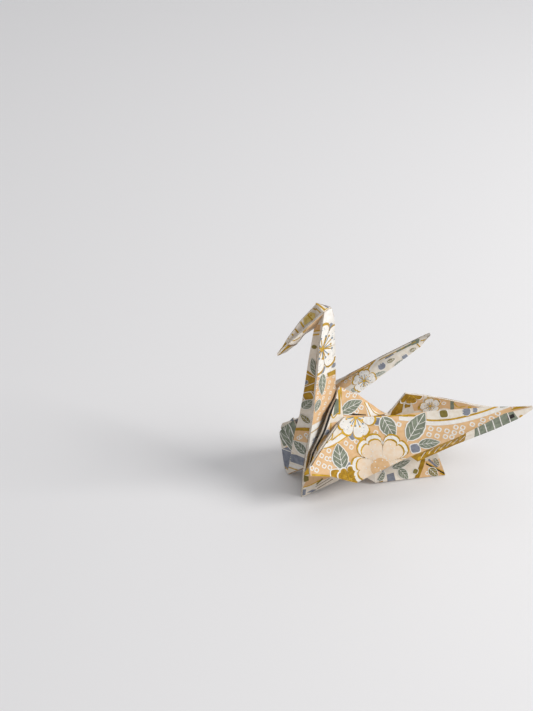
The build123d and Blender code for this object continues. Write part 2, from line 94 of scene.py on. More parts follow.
# Print charts, with thin painted-shade lines for gaps, slits and crevices among the motifs: (name, patch, first ring,
# last ring, soft, origin, u axis, v axis, motifs in mm on the sheet)
CHARTS = [
    ('wing', 'wing_near', 0, 14, True, (-3.4411, -3.5062, 15.3631),
     (0.9902, 0.0919, -0.105), (0.0, 0.7523, 0.6588), [
        ('poly', 'peach', 1, 0, [(-24.84, -16.34), (-24.73, -0.73), (-14.75, 8.85), (13.37, 9.62), (41.5, 11.79), (41.24, 7.64), (4.5, -9.34), (-9.03, -14.8)]),
        ('poly', 'cream', 2, 0, [(9.5, 9.52), (13.39, 10.17), (29.32, 11.16), (30.08, 9.54), (24.38, 7.47), (18.75, 5.96), (14.58, 5.44), (9.63, 5.45)]),
        ('line', 'gold', 3, 0.41, [(3.38, 6.77), (6.38, 6.72), (9.91, 5.46), (14.58, 5.44), (18.76, 6.15), (24.39, 7.66), (29.8, 9.67)]),
        ('line', 'white', 3, 1.14, [(2.26, 5.93), (6.35, 5.64), (9.87, 4.56), (14.55, 4.55), (19.28, 5.34), (24.91, 6.93), (30.9, 9.15)]),
        ('line', 'gold', 3, 0.35, [(-5.35, 6.14), (-2.09, 6.17), (1.74, 6.7), (4.73, 6.46)]),
        ('ring', -12.56, -1.29, 0.68),
        ('ring', -9.55, -0.65, 0.68),
        ('ring', -7.58, -0.61, 0.68),
        ('ring', -4.28, 1.88, 0.68),
        ('ring', -17.42, -3.56, 0.68),
        ('ring', -10.97, -2.17, 0.68),
        ('ring', -19.38, -4.96, 0.68),
        ('ring', -17.9, -5.61, 0.68),
        ('ring', -20.2, -6.89, 0.68),
        ('ring', -18.61, -7.54, 0.68),
        ('ring', -17.02, -7.84, 0.68),
        ('ring', -20.67, -8.7, 0.68),
        ('ring', -22.03, -8.28, 0.68),
        ('ring', 1.97, 4.23, 0.68),
        ('ring', -16.99, -5.7, 0.68),
        ('ring', 10.42, 3.04, 0.71),
        ('ring', 12.47, 2.77, 0.71),
        ('ring', 14.46, 2.34, 0.71),
        ('ring', 16.84, 3.33, 0.71),
        ('ring', 18.58, 3.19, 0.71),
        ('ring', 9.81, 1.43, 0.71),
        ('ring', 11.83, 1.0, 0.71),
        ('ring', 13.94, 0.79, 0.71),
        ('ring', 16.29, 1.85, 0.71),
        ('ring', 18.15, 1.9, 0.71),
        ('ring', 21.08, 4.03, 0.71),
        ('ring', 23.82, 5.12, 0.71),
        ('ring', 25.96, 5.49, 0.71),
        ('ring', 27.63, 6.83, 0.71),
        ('ring', 23.07, 3.76, 0.71),
        ('ring', 2.16, 4.22, 0.71),
        ('ring', 15.56, 0.64, 0.71),
        ('poly', 'cream', 3, 0, [(-18.03, 2.01), (-16.16, 4.34), (-14.32, 3.93), (-12.06, 1.23), (-19.01, -2.57), (-19.92, -2.59)]),
        ('line', 'gold', 4, 0.35, [(-17.09, 3.4), (-16.65, 2.04), (-16.69, -0.47), (-19.0, -2.12)]),
        ('line', 'gold', 4, 0.35, [(-16.69, -0.93), (-13.67, 1.31), (-12.06, 1.19)]),
        ('line', 'white', 4, 1.2, [(-19.24, -2.92), (-16.7, -1.39), (-14.38, -0.19), (-12.06, 1.12)]),
        ('line', 'gold', 5, 0.3, [(-19.01, -3.14), (-16.25, -2.29), (-13.93, -0.64), (-11.72, 0.9)]),
        ('blossom', 'white', -10.0, 5.7, 5.96, 80),
        ('leaf', -2.36, 6.22, 0.73, 0.26, 4.76),
        ('leaf', 4.25, -0.19, 9.3, 7.61, 4.9),
        ('leaf', 6.8, -1.34, 12.56, -0.67, 2.86),
        ('leaf', -13.42, -8.11, -15.04, -1.56, 4.9),
        ('bud', 'slate', -3.75, 4.84, 1.9, 0),
        ('bud', 'slate', -10.74, 0.92, 2.18, 45),
        ('tulip', 'slate', -4.3, -0.92, 3.81, 20),
        ('tulip', 'slate', -11.93, -6.9, 2.18, 10),
        ('bud', 'slate', 6.03, -2.29, 2.31, 10),
        ('blossom', 'big', -2.69, -6.32, 8.46, 52),
        ('bud', 'browngold', -15.4, -9.56, 2.58, 10),
        ('blossom', 'brown', -11.2, -10.68, 4.02, 75),
        # painted shade: the shadowed gap between the neck and the wing's front edge
        ('line', 'dark', 9, 0.33, [(-14.83, 3.49), (-19.45, -3.11), (-22.41, -7.76)]),
        ('line', 'gold', 4, 0.44, [(-21.9, -9.96), (-16.63, -10.07), (-13.2, -10.98)]),
        ('bud', 'olive', 14.04, 7.11, 2.04, 5),
        ('tulip', 'slate', 19.94, 7.73, 2.72, 85),
        ('tulip', 'slate', 22.18, 8.06, 1.63, 85),
        ('poly', 'sage', 5, 0, [(28.52, 11.97), (32.46, 12.08), (31.73, 8.89), (28.62, 8.54)]),
        ('poly', 'olive', 5, 0, [(32.74, 12.09), (35.57, 12.17), (34.84, 9.25), (32.29, 8.91)]),
        ('poly', 'sage', 3, 0, [(28.43, 10.31), (31.81, 10.41), (31.45, 9.02), (29.2, 8.83)]),
        ('poly', 'olive', 3, 0, [(32.09, 10.42), (34.64, 10.76), (34.27, 9.1), (32.0, 8.76)]),
        ('poly', 'gold', 4, 0, [(30.82, 7.64), (34.3, 9.65), (39.76, 11.18), (39.69, 10.08), (35.08, 8.57)]),
        ('poly', 'white', 5, 0, [(35.46, 10.23), (36.61, 10.54), (36.28, 9.84), (35.14, 9.54)]),
        ('line', 'white', 5, 0.24, [(31.56, 10.95), (31.69, 8.21)]),
        ('poly', 'gold', 4, 0, [(34.69, 11.59), (39.79, 11.74), (39.73, 10.77), (34.89, 10.08)]),
    ]),
    ('band', 'wing_near', 14, 18, False, (18.1273, -1.2181, 15.6659),
     (0.9484, 0.3125, 0.0533), (-0.0, -0.1681, 0.9858), [
        ('poly', 'browngold', 1, 0, [(-18.79, -8.13), (-19.61, 0.38), (-2.28, 2.04), (-1.48, 0.55), (-2.62, -3.89)]),
        ('poly', 'cream', 1, 0, [(-2.57, 4.12), (-0.12, 3.25), (1.43, -3.34), (-1.94, -4.55)]),
        ('poly', 'sage', 1, 0, [(0.81, -3.11), (-0.43, 5.32), (10.66, 5.36), (14.02, -0.17)]),
        ('poly', 'cream', 1, 0, [(11.14, 5.98), (13.98, 6.56), (18.89, 5.66), (19.72, 1.43), (14.25, -1.46)]),
        ('line', 'white', 3, 0.19, [(-14.84, -4.25), (-13.61, -2.26)]),
        ('line', 'white', 3, 0.19, [(-12.61, -3.45), (-11.39, -1.46)]),
        ('line', 'white', 3, 0.19, [(-10.84, -3.7), (-9.62, -1.71)]),
        ('line', 'white', 3, 0.19, [(-9.17, -3.1), (-7.96, -1.11)]),
        ('line', 'white', 3, 0.19, [(-7.49, -2.5), (-6.29, -0.51)]),
        ('line', 'white', 3, 0.19, [(-5.76, -2.32), (-4.57, -0.34)]),
        ('line', 'white', 3, 0.19, [(-3.78, -1.83), (-2.59, 0.15)]),
        ('disc', 'gold', 2, -15.14, -4.14, 0.71),
        ('disc', 'gold', 2, -12.66, -3.02, 0.71),
        ('disc', 'gold', 2, -9.22, -2.67, 0.71),
        ('disc', 'gold', 2, -5.82, -1.9, 0.71),
        ('line', 'white', 3, 0.27, [(0.86, 2.5), (2.43, -2.07)]),
        ('line', 'white', 3, 0.27, [(2.83, 2.99), (4.42, -1.58)]),
        ('line', 'white', 3, 0.27, [(5.12, 3.37), (6.74, -1.2)]),
        ('line', 'white', 3, 0.27, [(7.02, 4.28), (8.66, -0.28)]),
        ('line', 'white', 3, 0.27, [(9.24, 5.07), (10.91, 0.53)]),
        ('poly', 'dark', 3, 0, [(9.52, 3.4), (11.19, 4.0), (11.73, 2.63), (10.05, 2.03)]),
        ('line', 'gold', 3, 0.27, [(1.24, -2.05), (5.3, -1.49), (9.54, -0.19)]),
        ('disc', 'gold', 3, 13.55, 2.39, 0.49),
    ]),
    ('hump_near', 'hump', 0, 2, False, (-12.9169, 0.8871, 23.1923),
     (0.8515, 0.4853, -0.1984), (0.0, 0.3784, 0.9256), [
        ('poly', 'peach', 1, 0, [(-8.68, 8.12), (10.86, 5.56), (11.25, -7.01), (-8.49, -3.97)]),
        ('leaf', -5.04, -1.02, 1.4, 1.33, 3.94),
        ('ring', -4.47, 5.28, 0.68),
        ('ring', -3.19, 3.37, 0.68),
        ('ring', -0.97, 3.06, 0.68),
        ('ring', 1.21, -0.53, 0.68),
        ('ring', -0.17, -1.5, 0.68),
        ('ring', -2.1, 4.15, 0.68),
        ('ring', -5.8, 3.5, 0.68),
        ('ring', -2.12, -1.69, 0.68),
        ('line', 'gold', 2, 0.71, [(-5.84, 5.82), (-5.47, 3.46), (-5.39, -1.2)]),
        ('poly', 'white', 3, 0, [(2.17, 0.75), (3.45, 0.33), (5.51, -2.1), (8.14, -3.68), (3.26, -3.19)]),
        ('line', 'gold', 4, 0.3, [(2.17, 0.75), (3.21, -1.29), (4.12, -3.56)]),
        ('line', 'gold', 4, 0.27, [(3.45, 0.33), (5.52, -2.58), (8.14, -3.8)]),
        # painted shade: the crevice where the hump folds down into the near wing
        ('poly', 'dark', 5, 0, [(-4.62, -1.32), (-3.52, -1.13), (-2.12, -1.69), (2.68, -2.68), (2.68, -2.89), (-4.47, -1.85)]),
    ]),
    ('hump_far', 'hump', 2, 4, False, (-13.4987, 2.6399, 23.2045),
     (0.9951, 0.0934, 0.0329), (0.0, -0.3319, 0.9433), [
    ]),
    ('neckN', 'neck', 0, 8, True, (-23.0757, -3.8079, 27.5756),
     (0.6048, 0.7947, 0.0511), (-0.0, -0.0641, 0.9979), [
        ('poly', 'peach', 1, 0, [(-8.97, 15.1), (9.09, 5.17), (10.91, -19.5), (-7.9, -17.76)]),
        ('ring', -1.96, 10.14, 0.5),
        ('ring', 0.25, 8.87, 0.5),
        ('ring', 2.49, 7.58, 0.5),
        ('ring', 4.77, 6.27, 0.5),
        ('ring', 7.08, 4.95, 0.5),
        ('ring', 9.43, 3.6, 0.5),
        ('ring', -1.33, 8.05, 0.5),
        ('ring', 0.89, 6.76, 0.5),
        ('ring', 3.15, 5.44, 0.5),
        ('ring', 5.45, 4.11, 0.5),
        ('ring', 7.79, 2.76, 0.5),
        ('ring', 10.16, 1.38, 0.5),
        ('ring', -1.79, 6.67, 0.5),
        ('ring', 0.44, 5.37, 0.5),
        ('ring', 2.7, 4.04, 0.5),
        ('ring', 5.0, 2.69, 0.5),
        ('ring', 7.33, 1.32, 0.5),
        ('ring', 9.71, -0.07, 0.5),
        ('ring', -1.16, 4.54, 0.5),
        ('ring', 1.09, 3.21, 0.5),
        ('ring', 3.37, 1.86, 0.5),
        ('ring', 5.69, 0.49, 0.5),
        ('ring', 8.04, -0.91, 0.5),
        ('ring', 10.44, -2.33, 0.5),
        ('ring', -1.62, 3.15, 0.5),
        ('ring', 0.63, 1.8, 0.5),
        ('ring', 2.91, 0.44, 0.5),
        ('ring', 5.23, -0.95, 0.5),
        ('ring', 7.59, -2.36, 0.5),
        ('ring', 9.99, -3.79, 0.5),
        ('ring', -0.98, 0.98, 0.5),
        ('ring', 1.29, -0.39, 0.5),
        ('ring', 3.59, -1.78, 0.5),
        ('ring', 5.93, -3.2, 0.5),
        ('ring', 8.31, -4.64, 0.5),
        ('ring', 10.73, -6.1, 0.5),
        ('ring', -1.44, -0.43, 0.5),
        ('ring', 0.82, -1.82, 0.5),
        ('ring', 3.13, -3.23, 0.5),
        ('ring', 5.47, -4.66, 0.5),
        ('ring', 7.85, -6.11, 0.5),
        ('ring', 10.27, -7.59, 0.5),
        ('ring', -0.8, -2.64, 0.5),
        ('ring', 1.49, -4.05, 0.5),
        ('ring', 3.81, -5.49, 0.5),
        ('ring', 6.17, -6.95, 0.5),
        ('ring', 8.58, -8.43, 0.5),
        ('ring', 11.02, -9.93, 0.5),
        ('ring', -1.27, -4.08, 0.5),
        ('ring', 1.02, -5.5, 0.5),
        ('ring', 3.35, -6.95, 0.5),
        ('ring', 5.71, -8.43, 0.5),
        ('ring', 8.11, -9.92, 0.5),
        ('ring', 10.56, -11.45, 0.5),
        ('ring', -0.62, -6.33, 0.5),
        ('ring', 1.69, -7.78, 0.5),
        ('ring', 4.04, -9.26, 0.5),
        ('ring', 6.42, -10.76, 0.5),
        ('ring', 8.85, -12.29, 0.5),
        ('ring', 11.31, -13.84, 0.5),
        ('ring', -1.09, -7.78, 0.5),
        ('ring', 1.22, -9.25, 0.5),
        ('ring', 3.57, -10.74, 0.5),
        ('ring', 5.96, -12.26, 0.5),
        ('ring', 8.38, -13.8, 0.5),
        ('ring', 10.85, -15.37, 0.5),
        ('ring', -0.43, -10.08, 0.5),
        ('ring', 1.9, -11.57, 0.5),
        ('ring', 4.27, -13.09, 0.5),
        ('ring', 6.68, -14.64, 0.5),
        ('ring', 9.13, -16.21, 0.5),
        ('ring', 11.62, -17.81, 0.5),
        ('ring', -0.9, -11.55, 0.5),
        ('ring', 1.43, -13.06, 0.5),
        ('ring', 3.8, -14.6, 0.5),
        ('ring', 6.21, -16.16, 0.5),
        ('ring', 8.66, -17.75, 0.5),
        ('ring', 11.15, -19.37, 0.5),
        ('poly', 'white', 2, 0, [(-8.37, -3.16), (1.56, -6.17), (6.01, -3.71), (9.89, -5.7), (8.57, -13.72), (-7.84, -19.66)]),
        ('line', 'gold', 3, 0.33, [(-4.27, -6.86), (-0.2, -7.37), (3.82, -5.67), (6.98, -4.38)]),
        ('tulip', 'slate', -2.52, -10.99, 3.26, 80),
        ('line', 'gold', 3, 0.33, [(-5.36, -13.17), (-2.67, -12.68)]),
        ('poly', 'gold', 3, 0, [(-6.71, -13.22), (-4.0, -13.48), (-3.68, -21.08), (-6.48, -19.62)]),
        ('poly', 'white', 2, 0, [(-5.65, 36.01), (7.35, 28.55), (9.01, 6.23), (-0.13, 8.6), (-4.7, 13.56)]),
        ('blossom', 'white', 0.88, 17.13, 7.49, 95),
        ('bud', 'slate', 3.83, 22.21, 2.04, 0),
        ('bud', 'slate', 4.82, 14.49, 1.63, 0),
        ('bud', 'slate', 0.54, 10.84, 2.04, 60),
        ('bud', 'slate', 4.89, 9.9, 1.36, 70),
        ('poly', 'gold', 5, 0, [(2.28, 8.81), (6.36, 8.12), (6.47, 6.55), (2.59, 7.45)]),
        ('leaf', 0.59, 9.75, 0.17, 2.9, 2.86),
        ('leaf', -0.78, 2.37, -2.53, -1.01, 2.45),
    ]),
    ('neckF', 'neck', 8, 16, True, (-24.2464, -0.3272, 27.1859),
     (0.9627, -0.2703, 0.0142), (0.0, 0.0525, 0.9986), [
        ('poly', 'peach', 1, 0, [(-7.76, -11.62), (0.45, -10.02), (0.55, -14.27), (-7.72, -15.92)]),
        ('poly', 'peach', 1, 0, [(-1.61, 22.15), (1.97, 22.72), (2.02, 20.85), (-1.57, 20.27)]),
        ('line', 'gold', 3, 0.35, [(-1.05, 20.33), (2.02, 20.93)]),
        ('line', 'gold', 3, 0.41, [(-1.28, 19.18), (2.05, 19.84)]),
        ('leaf', 0.59, 6.29, -0.74, 12.28, 2.45),
        ('poly', 'browngold', 2, 0, [(-3.4, 6.97), (-1.83, 8.16), (0.33, 6.09), (0.74, 0.27), (-2.98, -1.68)]),
        ('line', 'white', 3, 0.19, [(-2.61, 7.41), (0.06, 6.04)]),
        ('line', 'white', 3, 0.19, [(-2.79, 2.75), (0.36, 4.56)]),
        ('line', 'white', 3, 0.19, [(-3.01, 0.21), (-0.9, 1.53), (0.46, 0.53)]),
        ('bud', 'browngold', -1.66, -0.17, 2.45, 20),
        ('leaf', -3.2, -4.42, -0.57, -1.23, 2.99),
        ('tulip', 'slate', -2.55, 4.34, 1.9, 0),
        ('leafolive', -1.07, -9.01, -3.71, -6.29, 2.04),
        ('line', 'browngold', 3, 0.92, [(-5.27, -11.73), (-0.36, -10.57)]),
        ('leaf', -1.57, -18.36, -5.5, -15.48, 3.4),
        ('poly', 'slate', 3, 0, [(-6.28, -20.34), (-4.6, -19.83), (-1.26, -19.65), (-1.21, -22.01), (-6.25, -22.72)]),
        ('line', 'white', 3, 0.68, [(-6.8, -23.97), (-1.19, -23.03)]),
        ('line', 'gold', 4, 0.3, [(-6.79, -24.75), (-1.18, -23.85)]),
        ('disc', 'olive', 3, -0.17, 15.66, 0.65),
        ('ring', -3.41, -13.5, 0.57),
        ('ring', -1.91, -12.5, 0.57),
        ('ring', -1.19, -13.06, 0.57),
        ('ring', -4.02, -14.19, 0.57),
    ]),
    ('headN', 'head', 0, 4, True, (-27.7475, -4.1658, 49.5576),
     (0.8403, 0.5005, 0.2081), (0.0, -0.3839, 0.9234), [
        ('poly', 'peach', 1, 0, [(6.31, 4.92), (6.48, 1.69), (3.46, 0.12), (0.38, -0.27), (-0.25, 1.4), (1.02, 3.21)]),
        ('poly', 'gold', 2, 0, [(-0.5, 3.02), (1.24, 2.47), (0.38, -0.27), (-0.24, 0.81)]),
        ('line', 'gold', 2, 0.33, [(-3.85, 0.01), (-2.49, -0.82), (-0.96, -0.63)]),
        ('line', 'brown', 2, 0.33, [(-4.59, -1.42), (-1.86, -2.81), (0.21, -1.0)]),
        ('poly', 'gold', 2, 0, [(-4.8, -0.36), (-3.41, -2.4), (-5.33, -2.86), (-7.23, -3.93), (-7.62, -3.0)]),
    ]),
    ('headF', 'head', 4, 8, True, (-28.3106, -3.1653, 49.7487),
     (0.9646, 0.2522, -0.0766), (0.0, 0.2907, 0.9568), [
        ('line', 'gold', 2, 0.35, [(1.56, 4.16), (2.41, 3.1), (3.17, 2.29)]),
        ('line', 'gold', 2, 0.35, [(-1.75, 1.08), (-1.08, 0.03), (-0.4, -0.69)]),
        ('line', 'slate', 3, 0.6, [(0.23, 3.26), (-1.26, 1.71)]),
        ('line', 'gold', 2, 0.33, [(-2.74, -0.17), (-1.9, -1.16)]),
        ('line', 'gold', 2, 0.33, [(2.96, 5.55), (4.23, 4.79), (5.25, 4.3)]),
        ('line', 'gold', 2, 0.38, [(3.7, 6.49), (5.22, 5.71), (6.25, 4.8)]),
        ('line', 'gold', 2, 0.46, [(-0.26, 2.63), (0.25, 1.6), (0.76, 0.89)]),
        ('line', 'slate', 2, 0.44, [(-1.26, 1.55), (-3.41, -0.95)]),
        ('line', 'gold', 2, 0.38, [(-4.07, -1.24), (-3.15, -1.9)]),
        ('poly', 'gold', 2, 0, [(-4.07, -2.07), (-5.89, -4.61), (-6.22, -5.93), (-5.05, -4.85), (-3.56, -3.46)]),
        ('poly', 'white', 3, 0, [(-4.89, -3.35), (-5.22, -3.99), (-4.89, -4.19), (-4.56, -3.54)]),
        ('poly', 'palegold', 1, 0, [(0.56, 3.24), (2.39, 4.59), (4.75, 3.75), (3.58, 3.01), (0.92, 1.21)]),
        ('disc', 'gold', 2, 1.72, 4.15, 0.41),
        ('disc', 'gold', 2, 2.57, 3.75, 0.22),
        ('disc', 'gold', 2, -3.57, -1.44, 0.24),
    ]),
    ('crown', 'crown', 0, 3, False, (-23.5313, -1.7058, 54.2459),
     (0.7283, -0.2159, 0.6504), (0.0, 0.9491, 0.3151), [
        ('poly', 'cream', 1, 0, [(-6.39, 8.98), (8.0, 0.77), (7.42, -9.64), (-6.66, -2.12)]),
        ('line', 'gold', 2, 0.41, [(-1.22, 2.98), (0.66, 0.97), (2.18, -1.29)]),
        ('line', 'gold', 2, 0.27, [(-2.22, 2.73), (-0.64, 0.9), (0.58, -1.03)]),
        ('line', 'slate', 2, 0.33, [(0.39, 2.39), (2.25, 0.24)]),
        ('poly', 'palegold', 2, 0, [(1.94, 0.73), (3.81, -0.63), (3.72, -2.45), (1.55, -0.94)]),
    ]),
    ('wallN', 'wall_near', 0, 12, False, (-14.3181, -2.6219, 11.6843),
     (0.9264, 0.3698, -0.0703), (0.0, 0.1866, 0.9824), [
        ('poly', 'gold', 2, 0, [(-13.39, 0.89), (-11.66, 1.04), (-10.89, -0.15), (-11.92, -5.41), (-13.41, -5.61)]),
        ('poly', 'olive', 2, 0, [(-13.67, -5.29), (-12.03, -6.18), (-11.88, -7.53), (-13.25, -7.75)]),
        ('poly', 'peach', 1, 0, [(-12.03, -5.91), (-4.16, -7.93), (-9.22, -8.66), (-13.48, -9.29)]),
        ('line', 'gold', 3, 0.35, [(-13.48, -9.35), (-11.48, -9.22), (-8.22, -8.22)]),
        ('poly', 'slate', 2, 0, [(-13.85, -10.01), (-12.46, -10.32), (-12.56, -12.17), (-13.44, -12.1)]),
        ('poly', 'slate', 2, 0, [(-12.19, -11.45), (-10.69, -10.86), (-9.16, -11.21), (-10.67, -11.8)]),
        ('line', 'brown', 3, 0.19, [(-9.17, -10.94), (-4.64, -8.89)]),
        ('line', 'brown', 3, 0.19, [(-9.69, -10.15), (-5.68, -8.39)]),
        ('line', 'olive', 3, 0.49, [(-9.46, -9.41), (-7.72, -7.93)]),
        ('line', 'white', 3, 0.22, [(-13.72, -9.9), (-9.2, -9.73)]),
        ('poly', 'sage', 2, 0, [(-4.83, 15.66), (-3.95, 15.25), (-3.85, 11.72), (-5.69, 11.06), (-5.39, 13.52)]),
        ('line', 'gold', 3, 0.33, [(-6.46, 12.22), (-5.67, 10.43), (-4.46, 11.33), (-3.71, 11.18)]),
        ('poly', 'peach', 1, 0, [(-6.39, 9.18), (-4.39, 9.04), (-7.52, 4.82), (-9.95, 2.23), (-8.52, 5.28)]),
        ('line', 'gold', 3, 0.3, [(-6.39, 9.18), (-6.57, 6.67), (-9.49, 3.94), (-9.93, 1.45)]),
        ('line', 'gold', 2, 0.65, [(-3.91, 17.98), (-3.65, 14.19), (-3.7, 10.93)]),
        ('tulip', 'slate', -7.3, 6.6, 1.9, 70),
        # painted shade: the shadowed gap between the near wall's edge and the neck
        ('line', 'dark', 5, 0.76, [(-4.9, 15.8), (-6.58, 12.19), (-8.6, 6.57), (-11.36, 0.88), (-12.16, -2.87)]),
    ]),
    ('keelN', 'wall_near', 12, 16, False, (2.9594, 0.3137, 5.3279),
     (0.9898, 0.13, -0.0581), (0.0, 0.4082, 0.9129), [
        ('leaf', -5.85, -2.13, -0.44, -0.24, 2.18),
        ('leaf', -3.89, -2.36, -1.01, -5.6, 2.58),
        ('bud', 'olive', 0.9, -3.41, 1.36, 70),
        ('poly', 'peach', 1, 0, [(2.52, -0.93), (10.65, 0.71), (10.9, -6.99), (1.25, -5.98)]),
        ('line', 'browngold', 3, 1.25, [(3.06, -0.11), (2.55, -2.07), (1.24, -5.7)]),
        ('ring', 4.3, -4.13, 0.57),
        ('leafolive', 4.68, -2.72, 7.44, -5.26, 2.45),
        ('poly', 'slate', 2, 0, [(-7.21, -3.91), (-5.26, -3.43), (-4.65, -5.72), (-6.88, -6.19)]),
        ('tulip', 'slate', -8.61, -3.57, 2.18, 30),
        ('leaf', -9.68, -5.5, -7.78, -3.04, 2.18),
        ('bud', 'browngold', -8.84, -5.68, 1.22, 0),
        # painted shade: the shadowed slit in the keel
        ('line', 'dark', 5, 0.38, [(3.83, -1.38), (9.29, -4.52)]),
        ('line', 'gold', 5, 0.27, [(3.82, -1.04), (9.39, -4.18)]),
        ('line', 'slate', 2, 0.54, [(4.47, -0.17), (7.07, -2.54)]),
        ('leafolive', 5.86, 0.34, 7.63, -2.28, 1.36),
        ('line', 'gold', 4, 0.41, [(7.98, -4.29), (9.7, -5.08)]),
    ]),
    ('wallFar', 'wall_far', 0, 15, False, (-13.4318, 5.4386, 10.0258),
     (0.9736, 0.2254, 0.0371), (0.0, -0.1625, 0.9867), [
    ]),
    ('flapF', 'flap_far', 0, 5, False, (-30.5068, 2.7408, 8.5782),
     (0.6379, -0.74, 0.2132), (0.0, 0.2769, 0.9609), [
        ('poly', 'cream', 1, 0, [(-8.15, 10.44), (8.23, 15.35), (8.67, -7.57), (-8.11, -13.7)]),
        ('poly', 'sage', 1, 0, [(-5.58, 8.87), (5.09, 13.27), (5.66, 3.1), (-2.14, -1.27)]),
        ('leaf', 2.46, -1.49, -3.26, 7.82, 5.17),
        ('poly', 'peach', 1, 0, [(-2.13, -2.16), (2.8, 3.32), (2.87, -1.35), (-0.43, -3.67)]),
        ('poly', 'slate', 2, 0, [(-3.4, -2.6), (2.02, 0.42), (2.93, -6.08), (-2.08, -8.16)]),
        ('poly', 'slate', 2, 0, [(0.29, 6.89), (3.52, 10.5), (3.56, 7.92)]),
        ('line', 'gold', 3, 0.27, [(-2.09, -7.56), (0.45, -7.56)]),
        ('line', 'white', 3, 0.22, [(-3.4, -2.3), (1.22, -1.92)]),
    ]),
    ('farF', 'wing_far', 0, 8, True, (-15.3816, 8.2106, 12.1479),
     (0.999, 0.0366, 0.0247), (0.0, -0.5588, 0.8293), [
        ('poly', 'cream', 1, 0, [(-20.41, 20.9), (18.85, 15.78), (29.88, -68.67), (-20.17, -60.17)]),
        ('leaf', -11.65, -6.38, -17.63, 2.76, 3.54),
        ('poly', 'slate', 3, 0, [(-15.12, -0.31), (-12.44, 11.63), (-11.1, 2.74), (-13.1, -4.29)]),
        ('line', 'white', 4, 0.22, [(-15.93, -1.11), (-12.27, 5.57)]),
        ('leaf', -9.11, -6.74, -4.58, -13.18, 2.72),
        ('blossom', 'white', 0.81, -8.16, 5.55, 40),
    ]),
    ('farR', 'wing_far', 8, 14, True, (7.8091, 12.2928, 11.0584),
     (0.986, 0.1661, 0.0144), (0.0, -0.0865, 0.9963), [
        ('poly', 'peach', 1, 0, [(-4.71, 5.41), (-2.42, 7.99), (5.71, 5.3), (18.21, 0.99), (18.39, -0.36), (4.92, 2.09), (-3.52, 1.53)]),
        ('blossom', 'brown', -4.98, 7.94, 3.75, 60),
        ('blossom', 'white', 0.69, 3.3, 3.05, 30),
        ('poly', 'browngold', 2, 0, [(-11.18, 2.35), (-10.5, 4.46), (-7.66, 7.32), (-6.91, 5.02), (-7.23, 2.11)]),
        ('line', 'white', 4, 0.22, [(-7.98, 7.92), (-6.77, 4.99), (-7.07, 1.9)]),
        ('bud', 'browngold', -5.64, 3.9, 1.77, 10),
        ('poly', 'cream', 2, 0, [(-1.22, 7.08), (1.66, 6.28), (1.6, 4.08), (-1.54, 4.56)]),
        ('bud', 'slate', 2.71, 4.28, 1.5, 10),
        ('ring', 4.5, 3.94, 0.63),
        ('poly', 'sage', 2, 0, [(6.18, 4.86), (7.26, 4.51), (7.59, 1.12), (6.56, 1.47)]),
        ('line', 'gold', 3, 0.33, [(7.27, 3.96), (8.58, 2.46), (10.54, 2.72)]),
        ('poly', 'gold', 3, 0, [(11.25, 2.8), (12.29, 2.45), (11.94, 0.64), (11.33, 0.92)]),
        ('line', 'gold', 3, 0.24, [(-2.71, 8.11), (1.64, 6.47), (6.32, 4.84)]),
        ('disc', 'gold', 3, -0.01, 6.72, 0.44),
        ('line', 'gold', 3, 0.33, [(-2.44, 2.11), (-2.28, 3.38), (-0.79, 2.6)]),
        ('bud', 'olive', -1.38, 2.87, 1.22, 30),
    ]),
    ('tailN', 'tail', 0, 4, True, (-9.1115, 3.6075, 32.3496),
     (0.9578, 0.2828, -0.0503), (-0.0, 0.1752, 0.9845), [
        ('poly', 'cream', 1, 0, [(-12.02, 13.29), (18.56, 9.46), (20.06, -11.32), (-11.51, -6.65)]),
        ('poly', 'peach', 2, 0, [(-10.53, -2.14), (-4.03, 1.56), (1.15, 3.72), (-0.93, 0.27), (-6.63, -3.28), (-9.91, -4.55)]),
        ('ring', -7.51, -1.7, 0.46),
        ('ring', -6.15, -1.03, 0.46),
        ('ring', -4.8, -0.21, 0.46),
        ('ring', -3.16, 0.43, 0.46),
        ('ring', -1.8, 1.25, 0.46),
        ('ring', -0.44, 1.93, 0.46),
        ('ring', -5.55, -2.27, 0.46),
        ('ring', -3.92, -1.34, 0.46),
        ('line', 'white', 3, 0.49, [(-1.44, -0.82), (-0.15, 1.6), (1.99, 3.61)]),
        ('line', 'gold', 4, 0.24, [(-1.74, -0.2), (-0.58, 1.95), (1.43, 3.83)]),
        ('blossom', 'white', -2.21, -2.45, 3.47, 20),
        ('leaf', -4.06, -5.1, -6.04, -4.23, 1.5),
        ('leaf', 0.26, -1.35, 3.85, -0.11, 1.25),
        ('tulip', 'slate', 2.52, 1.23, 2.31, 30),
        ('leafolive', 3.74, 2.08, 6.21, 3.18, 1.25),
        ('leaf', 5.78, 0.79, 8.49, 2.73, 1.14),
        ('tulip', 'slate', 8.75, 3.28, 1.77, 30),
        ('leafolive', 9.8, 4.58, 12.0, 5.58, 1.2),
        ('line', 'sage', 3, 0.49, [(6.4, 4.88), (8.6, 5.82), (10.52, 6.63)]),
        ('line', 'slate', 3, 0.41, [(3.41, 3.27), (5.59, 4.39)]),
        ('line', 'gold', 4, 0.3, [(11.94, 6.59), (12.85, 5.61), (13.48, 4.67)]),
        ('line', 'gold', 4, 0.27, [(13.03, 7.31), (14.43, 7.56), (15.77, 8.67)]),
        ('poly', 'sage', 3, 0, [(10.46, 7.64), (12.7, 7.92), (12.49, 6.8), (10.55, 6.2)]),
        ('line', 'gold', 3, 0.22, [(-8.9, -1.51), (-2.9, 0.94), (3.11, 3.6), (11.62, 7.2)]),
        ('disc', 'gold', 4, 14.19, 6.87, 0.44),
        ('line', 'browngold', 3, 0.24, [(3.88, -0.69), (9.05, 2.95), (12.88, 5.18)]),
    ]),
    ('tailF', 'tail', 4, 8, True, (-8.8453, 4.6484, 32.1853),
     (0.9009, 0.4278, 0.0734), (0.0, -0.1691, 0.9856), [
    ]),
]

STEP = 0.010          # height of one printed layer, mm
TOWARDS = Vector((-0.05, -0.80, 0.60)).normalized()   # which side of a facet is its shown side

